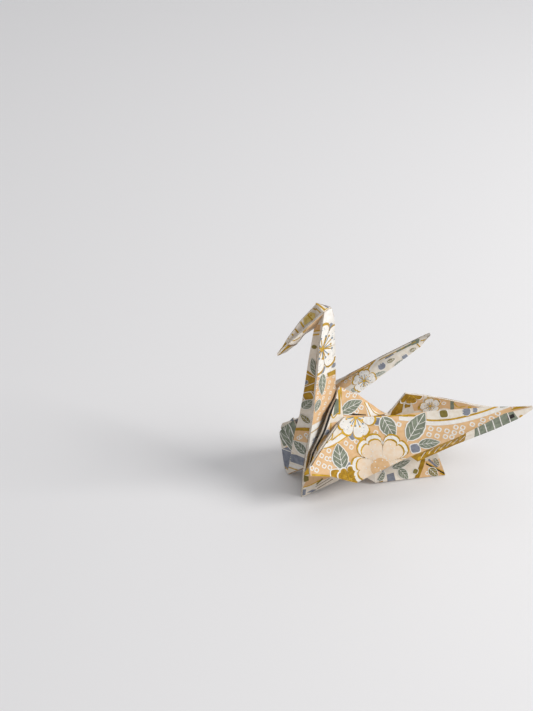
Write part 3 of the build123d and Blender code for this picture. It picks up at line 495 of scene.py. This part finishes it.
INKS = ["washi", "edge", "peach", "white", "cream", "sage", "slate", "gold", "browngold", "olive", "dark",
        "brown", "palegold", "back", "blush", "bluegrey"]
MI = {k: i for i, k in enumerate(INKS)}

verts, faces, mats, norms = [], [], [], []


def put(points, ink, normals):
    i = len(verts)
    verts.extend(points)
    faces.append(list(range(i, i + len(points))))
    mats.append(MI[ink])
    norms.extend(normals)


def triangles(rings):
    out = []
    for r in rings:
        k = r.split()
        out += [(k[0], k[i], k[i + 1]) for i in range(1, len(k) - 1)]
    return out


V = {k: Vector(p) for k, p in P.items()}
SURF = {}
for patch, (ply, rings) in FACETS.items():
    tris = triangles(rings)
    nv, flat = {}, {}
    for t in tris:
        a, b, c = (V[k] for k in t)
        n = (b - a).cross(c - a).normalized()
        for i, k in enumerate(t):
            u = (V[t[(i + 1) % 3]] - V[k]); w = (V[t[(i + 2) % 3]] - V[k])
            nv[k] = nv.get(k, Vector((0, 0, 0))) + n * u.angle(w)
            flat.setdefault(k, []).append(n)
    top, low, vn = {}, {}, {}
    for k, n in nv.items():
        n = n.normalized()
        least = min(max(n.dot(m), 1 / 1.5) for m in flat[k])
        shift = n * (0.5 * ply / least)
        top[k], low[k], vn[k] = V[k] + shift, V[k] - shift, n
    SURF[patch] = (tris, top, low, vn)
    edges = {}
    for t in tris:
        for e in ((t[0], t[1]), (t[1], t[2]), (t[2], t[0])):
            edges[e] = 1
    for a, b in edges:
        if (b, a) in edges:
            continue
        # the sheet's raw edge shows its plies: thin light lines with a brown band between them, which is painted shade
        # in the slit between the plies
        plies = 3
        for j in range(plies):
            f0, f1 = j / plies, (j + 1) / plies
            for g0, g1, ink in ((f0, f0 + 0.8 / plies, "edge"), (f0 + 0.8 / plies, f1, "brown" if j < plies - 1 else "edge")):
                q = [top[a].lerp(low[a], g0), top[a].lerp(low[a], g1), top[b].lerp(low[b], g1), top[b].lerp(low[b], g0)]
                n = (q[1] - q[0]).cross(q[3] - q[0])
                n = n.normalized() if n.length > 1e-12 else Vector((0, 0, 1))
                put(q, ink, [n] * 4)


# ---------------------------------------------------------------- motifs, as flat polygons in chart mm
def rot(pts, a, cx, cy):
    c, s = math.cos(a), math.sin(a)
    return [(cx + c * x - s * y, cy + s * x + c * y) for x, y in pts]


def blossom_outline(R, a0, k=1.0, notch=0.91, neck=0.44):
    pts = []
    for p in range(5):
        a = a0 + p * 2 * math.pi / 5
        for da, r in ((-36, neck), (-34.6, .70), (-31, .85), (-25, .945), (-17, .99), (-9, 1.0), (-3.2, .975), (0, notch), (3.2, .975), (9, 1.0), (17, .99), (25, .945), (31, .85), (34.6, .70)):
            t = a + math.radians(da)
            pts.append((R * k * r * math.cos(t), R * k * r * math.sin(t)))
    return pts


def disc(x, y, r, n=14):
    return [(x + r * math.cos(2 * math.pi * i / n), y + r * math.sin(2 * math.pi * i / n)) for i in range(n)]


def strip(pts, w):
    """Quads of a line of width w through the points, drawn as short overlapping runs."""
    out = []
    for (x0, y0), (x1, y1) in zip(pts, pts[1:]):
        dx, dy = x1 - x0, y1 - y0
        d = math.hypot(dx, dy) or 1e-6
        nx, ny = -dy / d * w / 2, dx / d * w / 2
        out.append([(x0 + nx, y0 + ny), (x0 - nx, y0 - ny), (x1 - nx, y1 - ny), (x1 + nx, y1 + ny)])
    for x, y in pts[1:-1]:
        out.append(disc(x, y, w / 2, 10))
    return out


def smooth_line(pts, n=6):
    if len(pts) < 3:
        return pts
    out = []
    q = [pts[0]] + list(pts) + [pts[-1]]
    for i in range(1, len(q) - 2):
        for j in range(n):
            t = j / n
            p = []
            for c in (0, 1):
                a, b, d, e = q[i - 1][c], q[i][c], q[i + 1][c], q[i + 2][c]
                p.append(0.5 * (2 * b + (d - a) * t + (2 * a - 5 * b + 4 * d - e) * t * t + (3 * b - a - 3 * d + e) * t ** 3))
            out.append(tuple(p))
    out.append(pts[-1])
    return out


def ring(x, y, r, L):
    out = []
    n, a0 = 12, 0.3
    for i in range(n):
        a, b = 2 * math.pi * i / n, 2 * math.pi * (i + 1) / n
        def at(t, k):
            s = 1 + 0.10 * math.cos(4 * (t - a0))      # tie-dyed dots are slightly square
            return (x + r * k * s * math.cos(t), y + r * k * s * math.sin(t))
        out.append((L, "white", [at(a, 1), at(b, 1), at(b, .52), at(a, .52)]))
    return out


def leaf(x0, y0, x1, y1, w, L, body="sage"):
    dx, dy = x1 - x0, y1 - y0
    d = math.hypot(dx, dy); a = math.atan2(dy, dx)
    def side(k, grow):
        pts = []
        for i in range(13):
            t = i / 12
            y = w / 2 * k * math.sin(math.pi * t ** 0.80) ** 0.85 * (1 + 0.05 * (i % 2))
            pts.append((-grow + t * (d + 2 * grow), y))
        return pts
    def outline(k, grow):
        u = side(k, grow)
        return rot(u + [(p[0], -p[1]) for p in reversed(u[1:-1])], a, x0, y0)
    out = [(L, "white", outline(1.0, 0.10)), (L + 1, body, outline(0.86, -0.12))]
    vw = max(0.07, w * 0.024)
    out += [(L + 2, "white", q) for q in strip(rot([(-0.05 * d, 0), (0.93 * d, 0)], a, x0, y0), vw * 1.5)]
    for i, t in enumerate((0.16, 0.36, 0.56)):
        for s in (1, -1):
            h = w / 2 * 0.74 * math.sin(math.pi * min(t + .12, 1) ** 0.8)
            out += [(L + 2, "white", q) for q in strip(rot([(t * d, 0), (t * d + .10 * d, s * h * .5), (t * d + .22 * d, s * h)], a, x0, y0), vw)]
    return out


def blossom(style, x, y, R, deg, L):
    a = math.radians(deg)
    put_ = lambda k, **kw: rot(blossom_outline(R, a, k, **kw), 0, x, y)
    out = []
    if style == "white":
        out += [(L, "gold", put_(1.0)), (L + 1, "white", put_(.90, neck=.40))]
        for p in range(5):       # gold petal seams and small speckles
            t = a + (p + .5) * 2 * math.pi / 5
            out += [(L + 2, "gold", q) for q in strip([(x + .10 * R * math.cos(t), y + .10 * R * math.sin(t)), (x + .46 * R * math.cos(t), y + .46 * R * math.sin(t))], .045 * R)]
            for s in range(6):
                tt = a + p * 2 * math.pi / 5 + random.uniform(-.35, .35); rr = R * random.uniform(.55, .82)
                out.append((L + 2, "bluegrey", disc(x + rr * math.cos(tt), y + rr * math.sin(tt), .016 * R, 6)))
        for i in range(15):
            t = a + i * 2 * math.pi / 15 + random.uniform(-.08, .08); r1 = R * random.uniform(.34, .52)
            out += [(L + 3, "bluegrey" if i % 2 else "gold", q) for q in strip([(x, y), (x + r1 * math.cos(t), y + r1 * math.sin(t))], .04 * R)]
            out.append((L + 4, "gold" if i % 2 else "bluegrey", disc(x + r1 * math.cos(t), y + r1 * math.sin(t), .045 * R, 8)))
        out.append((L + 5, "gold", disc(x, y, .10 * R, 10)))
    elif style == "big":
        out += [(L, "gold", put_(1.0)), (L + 1, "white", put_(.94, neck=.43)), (L + 2, "gold", put_(.83, notch=.89, neck=.34)), (L + 3, "blush", put_(.775, notch=.88, neck=.29)),
                (L + 4, "peach", disc(x - .05 * R, y - .12 * R, .30 * R, 22))]
        for s in range(34):
            tt = random.uniform(0, 2 * math.pi); rr = R * random.uniform(.1, .66)
            out.append((L + 5, "white", disc(x + rr * math.cos(tt), y + rr * math.sin(tt), .020 * R, 7)))
    else:
        out += [(L, "white", put_(1.0)), (L + 1, "browngold", put_(.90, neck=.40))]
        for p in range(5):
            t = a + (p + .5) * 2 * math.pi / 5
            out += [(L + 2, "gold", q) for q in strip([(x + .06 * R * math.cos(t), y + .06 * R * math.sin(t)), (x + .5 * R * math.cos(t), y + .5 * R * math.sin(t))], .05 * R)]
        for s in range(26):
            tt = random.uniform(0, 2 * math.pi); rr = R * random.uniform(.05, .72)
            out.append((L + 2, "palegold", disc(x + rr * math.cos(tt), y + rr * math.sin(tt), .022 * R, 6)))
    return out


def bud(ink, x, y, s, deg, L):
    q = []
    for i in range(20):
        t = 2 * math.pi * i / 20
        c, n = math.cos(t), math.sin(t)
        q.append((s / 2 * abs(c) ** .55 * (1 if c > 0 else -1), s / 2 * abs(n) ** .55 * (1 if n > 0 else -1)))
    o = [(px * 1.22, py * 1.22) for px, py in q]
    a = math.radians(deg)
    return [(L, "white", rot(o, a, x, y)), (L + 1, ink, rot(q, a, x, y))]


def tulip(ink, x, y, s, deg, L):
    h = s / 2
    q = [(-.9 * h, -.15 * h), (-.75 * h, .55 * h), (-.45 * h, .75 * h), (-.25 * h, .45 * h), (0, .85 * h), (.25 * h, .45 * h), (.45 * h, .75 * h),
         (.75 * h, .55 * h), (.9 * h, -.15 * h), (.6 * h, -.6 * h), (.2 * h, -.75 * h), (-.2 * h, -.75 * h), (-.6 * h, -.6 * h)]
    a = math.radians(deg)
    return [(L, "white", rot([(px * 1.12, py * 1.14) for px, py in q], a, x, y)), (L + 1, ink, rot(q, a, x, y))]


def expand(items):
    out = []
    for it in items:
        k = it[0]
        if k == "poly":
            out.append((it[2], it[1], list(it[4])))
        elif k == "line":
            out += [(it[2] + 1, it[1], q) for q in strip(smooth_line(list(it[4])), it[3])]
        elif k == "ring":
            out += ring(it[1], it[2], it[3], 2)
        elif k == "leaf":
            out += leaf(*it[1:], 8)
        elif k == "leafolive":
            out += leaf(*it[1:], 8, body="olive")
        elif k == "blossom":
            out += blossom(*it[1:], 12)
        elif k == "bud":
            out += bud(*it[1:], 6)
        elif k == "tulip":
            out += tulip(*it[1:], 6)
        elif k == "disc":
            out.append((it[2] + 1, it[1], disc(it[3], it[4], it[5])))
    return out


def scatter(lo, hi, seed):
    """The same kinds of motif strewn over a chart that has no drawn layout of its own."""
    rnd = random.Random(seed)
    items = []
    x0, y0, x1, y1 = lo[0] - 3, lo[1] - 3, hi[0] + 3, hi[1] + 3
    nx = max(1, round((x1 - x0) / 13)); ny = max(1, round((y1 - y0) / 11))
    items.append(("poly", "peach", 1, 0, [(x0, y0), (x1, y0), (x1, y1), (x0, y1)]))
    y = y0
    j = 0
    while y < y1:
        x = x0 + (j % 2) * 1.1
        while x < x1:
            items.append(("ring", x + rnd.uniform(-.2, .2), y + rnd.uniform(-.2, .2), .68))
            x += 2.2
        y += 2.1; j += 1
    for j in range(ny):        # flowing cream bands with gold lines
        yy = y0 + (j + .25) * (y1 - y0) / ny
        ph = rnd.uniform(0, 6)
        pts = [(x0 + t * (x1 - x0) / 14, yy + 1.7 * math.sin(ph + t * .62)) for t in range(15)]
        items.append(("line", "cream", 3, rnd.choice((1.4, 3.0)), pts))
        items.append(("line", "gold", 4, .32, [(p[0], p[1] + 1.6) for p in pts]))
        items.append(("line", "gold", 4, .28, [(p[0], p[1] - 1.6) for p in pts]))
    kinds = ["white", "leaf", "brown", "leaf", "big", "tulip", "leaf", "bud"]
    for j in range(ny * 2):
        for i in range(nx * 2):
            x = x0 + (i + .5 + rnd.uniform(-.3, .3)) * (x1 - x0) / (nx * 2)
            y = y0 + (j + .5 + rnd.uniform(-.3, .3)) * (y1 - y0) / (ny * 2)
            k = kinds[(i * 3 + j * 5 + seed) % len(kinds)]
            if k in ("white", "brown", "big"):
                items.append(("blossom", k, x, y, {"white": 5.4, "brown": 3.3, "big": 7.0}[k], rnd.uniform(0, 72)))
            elif k == "leaf":
                a = rnd.uniform(0, 6.28); d = rnd.uniform(5, 7)
                items.append(("leaf", x, y, x + d * math.cos(a), y + d * math.sin(a), rnd.uniform(3.4, 4.6)))
            elif k == "tulip":
                items.append(("tulip", "slate", x, y, 3.6, rnd.uniform(0, 360)))
            else:
                items.append(("bud", rnd.choice(("browngold", "olive", "slate")), x, y, 2.2, rnd.uniform(0, 90)))
    return items


def clip(poly, tri):
    """Convex polygon clipped to a counter-clockwise triangle, both in 2-D."""
    out = poly
    for i in range(3):
        (ax, ay), (bx, by) = tri[i], tri[(i + 1) % 3]
        ex, ey = bx - ax, by - ay
        src, out = out, []
        if not src:
            return []
        d = [ex * (p[1] - ay) - ey * (p[0] - ax) for p in src]
        for k in range(len(src)):
            p, q, dp, dq = src[k - 1], src[k], d[k - 1], d[k]
            if (dp >= 0) != (dq >= 0):
                t = dp / (dp - dq)
                out.append((p[0] + t * (q[0] - p[0]), p[1] + t * (q[1] - p[1])))
            if dq >= 0:
                out.append(q)
    return out


def convex_bits(pts):
    if len(pts) == 4 or len(pts) == 3:
        return [pts]
    v = [Vector((p[0], p[1], 0)) for p in pts]
    return [[pts[i] for i in t] for t in tessellate_polygon([v])]


def ccw(p):
    s = sum(p[i - 1][0] * p[i][1] - p[i][0] * p[i - 1][1] for i in range(len(p)))
    return p if s > 0 else list(reversed(p))


def area2(p):
    return abs(sum(p[i - 1][0] * p[i][1] - p[i][0] * p[i - 1][1] for i in range(len(p))))


for ci, (name, patch, first, last, soft, org, eu, ev, motifs) in enumerate(CHARTS):
    tris_all, top, low, vn = SURF[patch]
    rings = FACETS[patch][1][first:last]
    O, EU, EV = Vector(org), Vector(eu), Vector(ev)
    flat2 = lambda p: ((p - O).dot(EU), (p - O).dot(EV))
    tris = triangles(rings)
    used = {k for t in tris for k in t}
    c2 = [flat2(V[k]) for k in used]
    lo = (min(p[0] for p in c2), min(p[1] for p in c2)); hi = (max(p[0] for p in c2), max(p[1] for p in c2))
    for shown in (True, False):
        random.seed(100 + ci)
        items = motifs if (shown and motifs) else scatter(lo, hi, ci * 2 + (0 if shown else 1))
        bits = []
        for j, (L, ink, pts) in enumerate(expand(items)):
            L += 0.05 * (j % 16)       # overlapping runs of one line never lie in one plane
            for q in convex_bits(pts):
                q = ccw(q)
                bits.append((L, ink, q, min(p[0] for p in q), max(p[0] for p in q), min(p[1] for p in q), max(p[1] for p in q)))
        for t in tris:
            fn = (V[t[1]] - V[t[0]]).cross(V[t[2]] - V[t[0]]).normalized()
            up = (fn.dot(TOWARDS) > 0) == shown
            S3 = [(top if up else low)[k] for k in t]
            n = fn if up else -fn
            nn = [(vn[k] if up else -vn[k]) if soft else n for k in t]
            put(S3 if up else [S3[0], S3[2], S3[1]], "washi", nn if up else [nn[0], nn[2], nn[1]])
            T = [flat2(p) for p in S3]
            det = (T[1][0] - T[0][0]) * (T[2][1] - T[0][1]) - (T[2][0] - T[0][0]) * (T[1][1] - T[0][1])
            if abs(det) < 1e-9:
                continue
            order = (0, 1, 2) if det > 0 else (0, 2, 1)
            Tc = [T[i] for i in order]
            tx0, tx1 = min(p[0] for p in T), max(p[0] for p in T)
            ty0, ty1 = min(p[1] for p in T), max(p[1] for p in T)
            for L, ink, q, x0, x1, y0, y1 in bits:
                if x1 < tx0 or x0 > tx1 or y1 < ty0 or y0 > ty1:
                    continue
                c = clip(q, Tc)
                if len(c) < 3 or area2(c) < 2e-4:
                    continue
                pts, ns_ = [], []
                for x, y in c:
                    b1 = ((x - T[0][0]) * (T[2][1] - T[0][1]) - (T[2][0] - T[0][0]) * (y - T[0][1])) / det
                    b2 = ((T[1][0] - T[0][0]) * (y - T[0][1]) - (x - T[0][0]) * (T[1][1] - T[0][1])) / det
                    b0 = 1 - b1 - b2
                    pts.append(S3[0] * b0 + S3[1] * b1 + S3[2] * b2 + n * (STEP * L))
                    ns_.append((nn[0] * b0 + nn[1] * b1 + nn[2] * b2).normalized())
                if (pts[1] - pts[0]).cross(pts[2] - pts[0]).dot(n) < 0:
                    pts.reverse(); ns_.reverse()
                put(pts, ink, ns_)

me = bpy.data.meshes.new("crane_paper")
me.from_pydata([tuple(v * 0.001) for v in verts], [], faces)
me.polygons.foreach_set("material_index", mats)
me.polygons.foreach_set("use_smooth", [True] * len(faces))
me.normals_split_custom_set([tuple(n) for n in norms])
crane = bpy.data.objects.new("crane_paper", me)
bpy.context.scene.collection.objects.link(crane)
print("faces", len(faces), "tris", sum(len(f) - 2 for f in faces))


# ---------------------------------------------------------------- inks and paper
def srgb(r, g, b):
    f = lambda c: (c / 255 / 12.92) if c / 255 <= 0.04045 else ((c / 255 + 0.055) / 1.055) ** 2.4
    return (f(r), f(g), f(b), 1)


def ink(name, rgb, rgb2, rough, metal=0.0, grain=0.25, scale=900):
    m = bpy.data.materials.new("ink_" + name)
    m.use_nodes = True
    nt = m.node_tree
    b = nt.nodes["Principled BSDF"]
    b.inputs["Metallic"].default_value = metal
    b.inputs["Specular IOR Level"].default_value = 0.32
    b.inputs["Sheen Weight"].default_value = 0.0 if metal else 0.05
    co = nt.nodes.new("ShaderNodeTexCoord")
    fine = nt.nodes.new("ShaderNodeTexNoise"); fine.inputs["Scale"].default_value = scale; fine.inputs["Detail"].default_value = 5
    nt.links.new(co.outputs["Object"], fine.inputs["Vector"])
    ramp = nt.nodes.new("ShaderNodeValToRGB")
    ramp.color_ramp.elements[0].position = 0.36; ramp.color_ramp.elements[1].position = 0.64
    ramp.color_ramp.elements[0].color = srgb(*rgb2); ramp.color_ramp.elements[1].color = srgb(*rgb)
    nt.links.new(fine.outputs["Fac"], ramp.inputs["Fac"])
    nt.links.new(ramp.outputs["Color"], b.inputs["Base Color"])
    # long mulberry fibres in the washi, seen as a soft relief under every ink
    mp = nt.nodes.new("ShaderNodeMapping"); mp.inputs["Scale"].default_value = (1, 2.6, 1.2); mp.inputs["Rotation"].default_value = (.4, .3, .8)
    nt.links.new(co.outputs["Object"], mp.inputs["Vector"])
    fib = nt.nodes.new("ShaderNodeTexNoise"); fib.inputs["Scale"].default_value = 1500; fib.inputs["Detail"].default_value = 6; fib.inputs["Roughness"].default_value = .65
    nt.links.new(mp.outputs["Vector"], fib.inputs["Vector"])
    bump = nt.nodes.new("ShaderNodeBump"); bump.inputs["Strength"].default_value = grain; bump.inputs["Distance"].default_value = 0.00008
    nt.links.new(fib.outputs["Fac"], bump.inputs["Height"])
    nt.links.new(bump.outputs["Normal"], b.inputs["Normal"])
    rr = nt.nodes.new("ShaderNodeMapRange"); rr.inputs["To Min"].default_value = rough - .07; rr.inputs["To Max"].default_value = rough + .07
    nt.links.new(fib.outputs["Fac"], rr.inputs["Value"])
    nt.links.new(rr.outputs["Result"], b.inputs["Roughness"])
    return m


table = {
    "washi": ink("washi", (240, 231, 218), (231, 220, 203), .78),
    "edge": ink("edge", (244, 238, 228), (224, 212, 192), .85),
    "peach": ink("peach", (231, 192, 146), (222, 180, 130), .74),
    "white": ink("white", (242, 239, 233), (231, 226, 217), .74),
    "cream": ink("cream", (238, 230, 217), (228, 217, 200), .76),
    "sage": ink("sage", (140, 147, 128), (114, 121, 104), .72),
    "slate": ink("slate", (142, 146, 156), (118, 122, 134), .72),
    "bluegrey": ink("bluegrey", (140, 155, 168), (112, 128, 146), .7),
    "gold": ink("gold", (218, 174, 50), (190, 146, 28), .36, .42, .3),
    "browngold": ink("browngold", (184, 142, 34), (150, 112, 20), .42, .4, .35),
    "olive": ink("olive", (138, 124, 62), (116, 104, 44), .6, .15),
    # near-black; the gap, slit and crevice lines drawn with it are painted shade
    "dark": ink("dark", (44, 38, 34), (24, 20, 18), .8),
    "brown": ink("brown", (134, 100, 62), (104, 76, 46), .8),
    "palegold": ink("palegold", (240, 216, 140), (222, 190, 104), .42, .45),
    "back": ink("back", (236, 228, 216), (226, 215, 198), .8),
    "blush": ink("blush", (240, 222, 200), (238, 212, 180), .74),
}
for k in INKS:
    me.materials.append(table[k])
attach(crane, "root")
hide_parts("crane_sheet")

# ---------------------------------------------------------------- floor, light, camera
fm = bpy.data.materials.new("floor")
fm.use_nodes = True
fb = fm.node_tree.nodes["Principled BSDF"]
fb.inputs["Base Color"].default_value = srgb(234, 233, 233)
fb.inputs["Roughness"].default_value = 0.9
fb.inputs["Specular IOR Level"].default_value = 0.15
bpy.ops.mesh.primitive_plane_add(size=6, location=(0, 1.2, -0.00002))
floor = bpy.context.object
floor.name = "floor"
floor.data.materials.append(fm)


def area(name, loc, aim, size, watts, col=(1, 1, 1)):
    d = bpy.data.lights.new(name, "AREA")
    d.shape = "DISK"; d.size = size; d.energy = watts; d.color = col
    o = bpy.data.objects.new(name, d)
    o.location = loc
    o.rotation_euler = (Vector(aim) - Vector(loc)).to_track_quat("-Z", "Y").to_euler()
    bpy.context.scene.collection.objects.link(o)


area("key", (0.60, -0.12, 0.44), (0, 0, 0.02), 0.34, 4.4, (1.0, .992, .982))
area("fill", (-0.5, -0.5, 0.7), (0, 0, 0.02), 0.9, 0.5, (.97, .985, 1.0))
area("top", (0.05, 0.5, 0.9), (0, 0, 0.0), 1.0, 2.6)
w = bpy.data.worlds.new("studio")
bpy.context.scene.world = w
w.use_nodes = True
w.node_tree.nodes["Background"].inputs["Color"].default_value = (0.95, 0.96, 1.0, 1)
w.node_tree.nodes["Background"].inputs["Strength"].default_value = 0.36
bpy.context.scene.view_settings.view_transform = "Standard"

CAM = (-0.0367, -0.2287, 0.2001)
cd = bpy.data.cameras.new("camera")
cd.sensor_fit = "VERTICAL"
cd.sensor_height = 24.0
cd.lens = 1100.0 * 24.0 / 711.0
cd.clip_start = 0.005
cam = bpy.data.objects.new("camera", cd)
cam.location = CAM
cam.rotation_euler = (math.radians(90 - 35), 0, 0)
bpy.context.scene.collection.objects.link(cam)
bpy.context.scene.camera = cam
